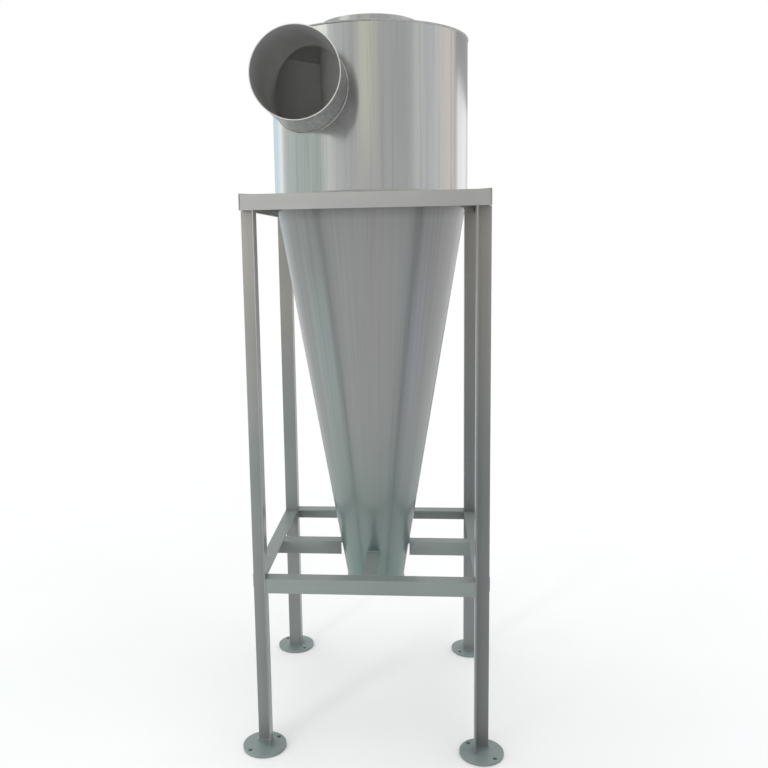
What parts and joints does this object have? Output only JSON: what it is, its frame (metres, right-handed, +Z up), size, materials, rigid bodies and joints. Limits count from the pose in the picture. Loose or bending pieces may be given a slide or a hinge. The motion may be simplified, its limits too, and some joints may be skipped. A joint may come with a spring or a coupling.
{
  "type": "cyclone separator",
  "caption": "Grey sheet-steel cyclone dust separator: barrel with round side inlet, top outlet pipe, long cone and dust spout, on a square four-legged angle-iron stand with round feet.",
  "frame": {"origin": "on the floor, at the centre of the four feet, which is on the axis of barrel and cone", "axes": "+Z up along the axis of barrel and cone; the inlet pipe opens towards -Y; +X to the right when facing the inlet mouth"},
  "size_m": [0.9, 1.01, 2.48],
  "materials": {
    "barrel_steel": "bright smooth sheet steel with soft upright reflections",
    "pipe_steel": "bright sheet steel, slightly dented",
    "cone_steel": "smooth sheet steel, greyer than the barrel",
    "rail_paint": "semi-gloss warm grey paint",
    "stand_paint": "semi-gloss grey paint, greener towards the floor",
    "foot_paint": "semi-gloss grey paint, scuffed"
  },
  "bodies": {
    "root": {"leg_front_left": "stand_paint", "foot_plate_front_left": "foot_paint", "leg_front_right": "stand_paint", "foot_plate_front_right": "foot_paint", "leg_rear_left": "stand_paint", "foot_plate_rear_left": "foot_paint", "leg_rear_right": "stand_paint", "foot_plate_rear_right": "foot_paint", "top_rail_front": "rail_paint", "lower_rail_front": "stand_paint", "cone_stay_front": "stand_paint", "top_rail_right": "rail_paint", "lower_rail_right": "stand_paint", "cone_stay_right": "stand_paint", "top_rail_rear": "rail_paint", "lower_rail_rear": "stand_paint", "cone_stay_rear": "stand_paint", "top_rail_left": "rail_paint", "lower_rail_left": "stand_paint", "cone_stay_left": "stand_paint", "support_ring": "rail_paint", "barrel_shell": "barrel_steel", "top_cover": "barrel_steel", "inlet_pipe": "pipe_steel", "outlet_pipe": "pipe_steel", "cone_shell": "cone_steel", "dust_spout": "cone_steel"}
  },
  "joints": []
}
